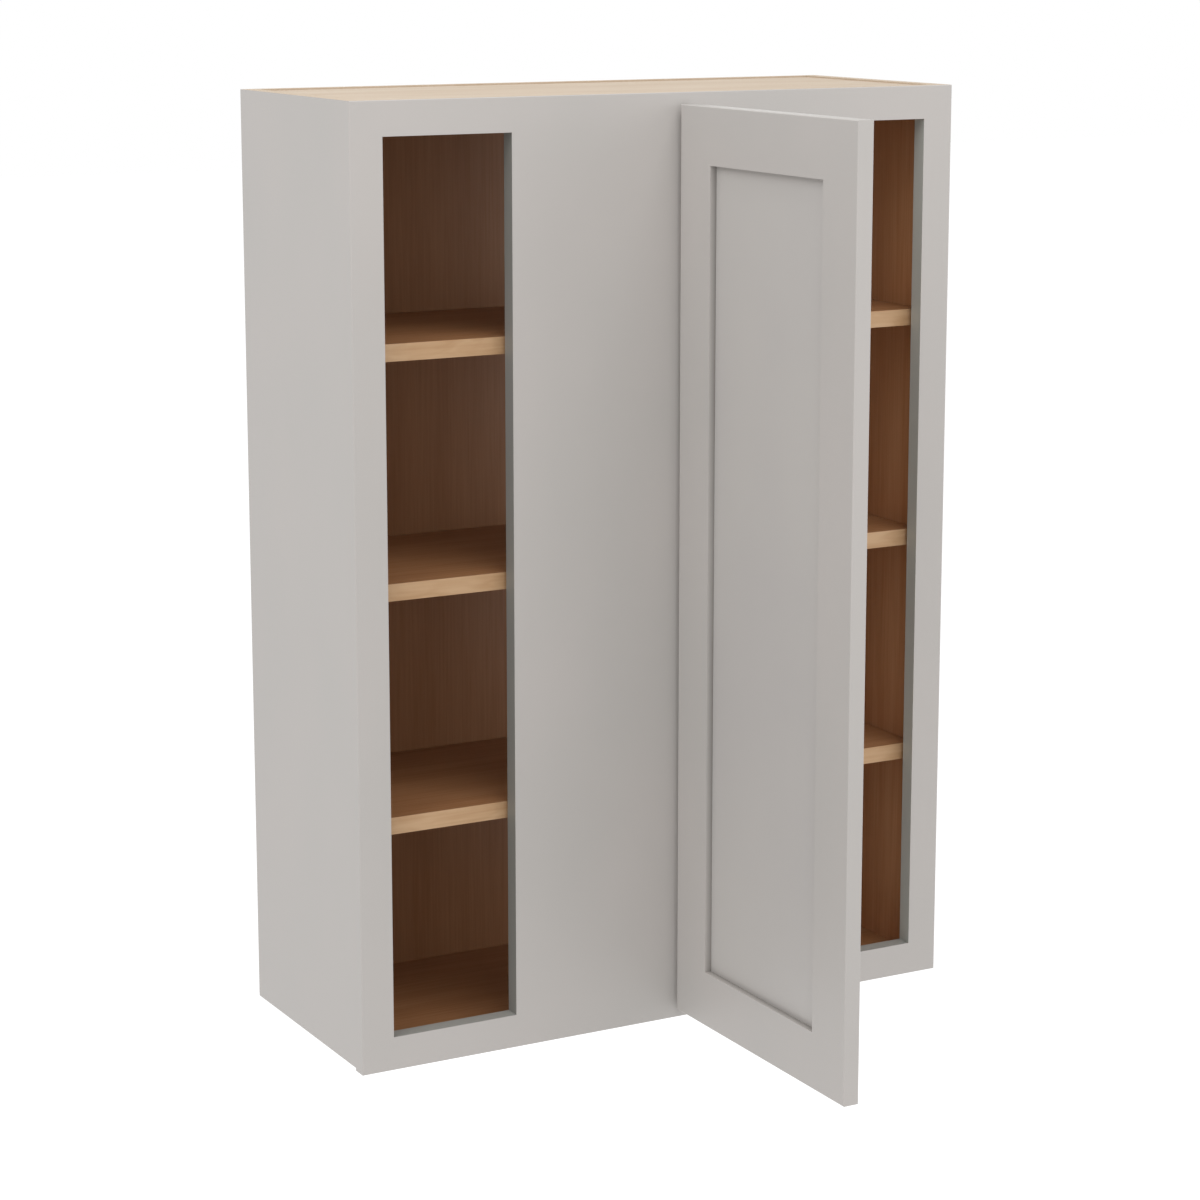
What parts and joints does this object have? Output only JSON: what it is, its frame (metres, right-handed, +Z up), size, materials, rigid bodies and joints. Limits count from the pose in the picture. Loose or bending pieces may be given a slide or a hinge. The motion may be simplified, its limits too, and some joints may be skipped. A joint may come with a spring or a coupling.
{
  "type": "blind corner wall cabinet",
  "caption": "Face-framed kitchen corner wall cabinet with an open blind bay, a wide blind stile, a recessed-panel door on concealed hinges and loose shelves",
  "frame": {"origin": "middle of the back panel's rear face, which lies against the wall", "axes": "+X to the right seen from the front of the cabinet, +Y into the wall, +Z up"},
  "size_m": [0.762, 0.655, 1.0668],
  "materials": {
    "painted_wood": "satin warm light grey paint",
    "painted_plywood": "satin warm light grey paint outside, bare maple inside",
    "maple_plywood": "clear satin lacquer on maple veneer",
    "maple_edging": "clear satin lacquer",
    "beech": "bare beech",
    "nickel_steel": "nickel plated pressed steel",
    "pin_steel": "ground steel",
    "zinc_screw": "zinc plated",
    "clear_rubber": "soft clear rubber"
  },
  "bodies": {
    "cabinet": {"side_panel_left": "painted_plywood", "side_panel_right": "painted_plywood", "top_panel": "maple_plywood", "bottom_panel": "maple_plywood", "back_panel": "maple_plywood", "frame_stile_left": "painted_wood", "frame_stile_blind": "painted_wood", "frame_stile_right": "painted_wood", "frame_rail_top": "painted_wood", "frame_rail_bottom": "painted_wood", "frame_dowels": "beech", "box_dowels": "beech", "back_screws": "zinc_screw", "shelf_clips": "nickel_steel", "hinge_arms": "nickel_steel", "hinge_arm_pins": "pin_steel", "hinge_arm_screws": "zinc_screw"},
    "lower_shelf": {"shelf_lower": "maple_plywood", "shelf_lower_edging": "maple_edging"},
    "middle_shelf": {"shelf_middle": "maple_plywood", "shelf_middle_edging": "maple_edging"},
    "upper_shelf": {"shelf_upper": "maple_plywood", "shelf_upper_edging": "maple_edging"},
    "hinge_links": {"hinge_links": "nickel_steel"},
    "door": {"door_stile_hinge": "painted_wood", "door_stile_free": "painted_wood", "door_rail_top": "painted_wood", "door_rail_bottom": "painted_wood", "door_panel": "painted_wood", "door_bumpers": "clear_rubber", "hinge_cups": "nickel_steel", "hinge_cup_pins": "pin_steel", "hinge_cup_screws": "zinc_screw"}
  },
  "joints": [
    {"name": "link_turn", "type": "hinge", "parent": "cabinet", "child": "hinge_links", "pos_m": [0.0448, -0.30015, 0], "axis": [0, 0, 1], "range_deg": [-47.1, 5.17]},
    {"name": "door_swing", "type": "hinge", "parent": "hinge_links", "child": "door", "pos_m": [0.03081, -0.3137, 0], "axis": [0, 0, 1], "range_deg": [-15, 137.08]},
    {"name": "shelf_lower_lift", "type": "slide", "parent": "cabinet", "child": "lower_shelf", "axis": [0, 0, 1], "range_m": [0, 0.2]},
    {"name": "shelf_middle_lift", "type": "slide", "parent": "cabinet", "child": "middle_shelf", "axis": [0, 0, 1], "range_m": [0, 0.2]},
    {"name": "shelf_upper_lift", "type": "slide", "parent": "cabinet", "child": "upper_shelf", "axis": [0, 0, 1], "range_m": [0, 0.2]}
  ],
  "couplings": [
    {"joint": "link_turn", "follows": "door_swing", "ratio": -0.34346}
  ]
}
